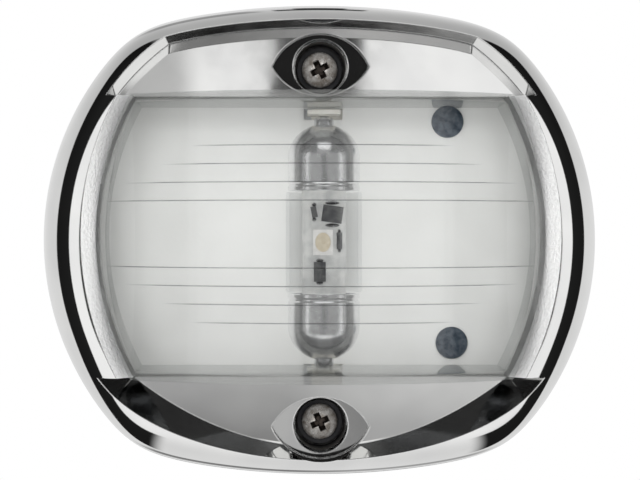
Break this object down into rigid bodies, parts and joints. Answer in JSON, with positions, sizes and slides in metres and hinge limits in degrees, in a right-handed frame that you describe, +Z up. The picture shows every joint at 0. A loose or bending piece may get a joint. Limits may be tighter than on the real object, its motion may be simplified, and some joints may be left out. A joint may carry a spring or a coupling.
{
  "type": "navigation light",
  "caption": "Surface-mounted stern navigation light with polished stainless cover, clear bowed lens and tubular LED bulb.",
  "frame": {"origin": "centre of the hull gasket's back face, on the hull surface", "axes": "+Z up as mounted, -Y out of the hull towards the lens, +X across the light"},
  "size_m": [0.08, 0.0416, 0.0682],
  "materials": {
    "stainless": "mirror-polished cast stainless, rough-cast white bevels beside the lens",
    "screw_steel": "stainless screw, lightly stained",
    "clear_lens": "clear moulded polycarbonate",
    "bulb_glass": "clear tube",
    "rubber": "black moulded rubber",
    "base_plastic": "light grey moulded plastic",
    "liner_plastic": "off-white moulded plastic, satin",
    "contact_brass": "spring brass, dull",
    "rivet_metal": "dark blue-grey passivated rivet, mottled",
    "cap_nickel": "nickel-plated, lightly worn",
    "board_laminate": "white solder resist on laminate",
    "led_case": "white moulded chip case",
    "led_phosphor": "pale yellow resin",
    "component": "black moulded component"
  },
  "bodies": {
    "base": {"hull_gasket": "rubber", "base_plate": "base_plastic", "reflector": "liner_plastic", "cover_seal": "rubber", "cable_grommet": "rubber", "screw_insert_upper": "contact_brass", "screw_insert_lower": "contact_brass", "contact_upper": "contact_brass", "contact_lower": "contact_brass", "rivet_upper": "rivet_metal", "rivet_lower": "rivet_metal", "terminal_upper": "contact_brass", "terminal_lower": "contact_brass"},
    "cover": {"housing": "stainless", "lens": "clear_lens", "lens_gasket": "rubber", "screw_seal_upper": "rubber", "screw_seal_lower": "rubber"},
    "upper_screw": {"screw_upper": "screw_steel"},
    "lower_screw": {"screw_lower": "screw_steel"},
    "bulb": {"bulb_glass": "bulb_glass", "bulb_cap_upper": "cap_nickel", "bulb_cap_lower": "cap_nickel", "bulb_board": "board_laminate", "led_package": "led_case", "led_phosphor": "led_phosphor", "board_regulator": "component", "board_diode": "component", "board_resistor": "component", "board_capacitor": "component"}
  },
  "joints": [
    {"name": "cover_lift", "type": "slide", "parent": "base", "child": "cover", "axis": [0, -1, 0], "range_m": [0, 0.045]},
    {"name": "screw_upper_turn", "type": "hinge", "parent": "cover", "child": "upper_screw", "pos_m": [0, -0.0116, 0.0242], "axis": [0, -1, 0], "continuous": true},
    {"name": "screw_lower_turn", "type": "hinge", "parent": "cover", "child": "lower_screw", "pos_m": [0, -0.0116, -0.0258], "axis": [0, -1, 0], "continuous": true},
    {"name": "bulb_turn", "type": "hinge", "parent": "base", "child": "bulb", "pos_m": [0.0006, -0.0109, -0.0003], "axis": [0, 0, 1], "continuous": true}
  ]
}
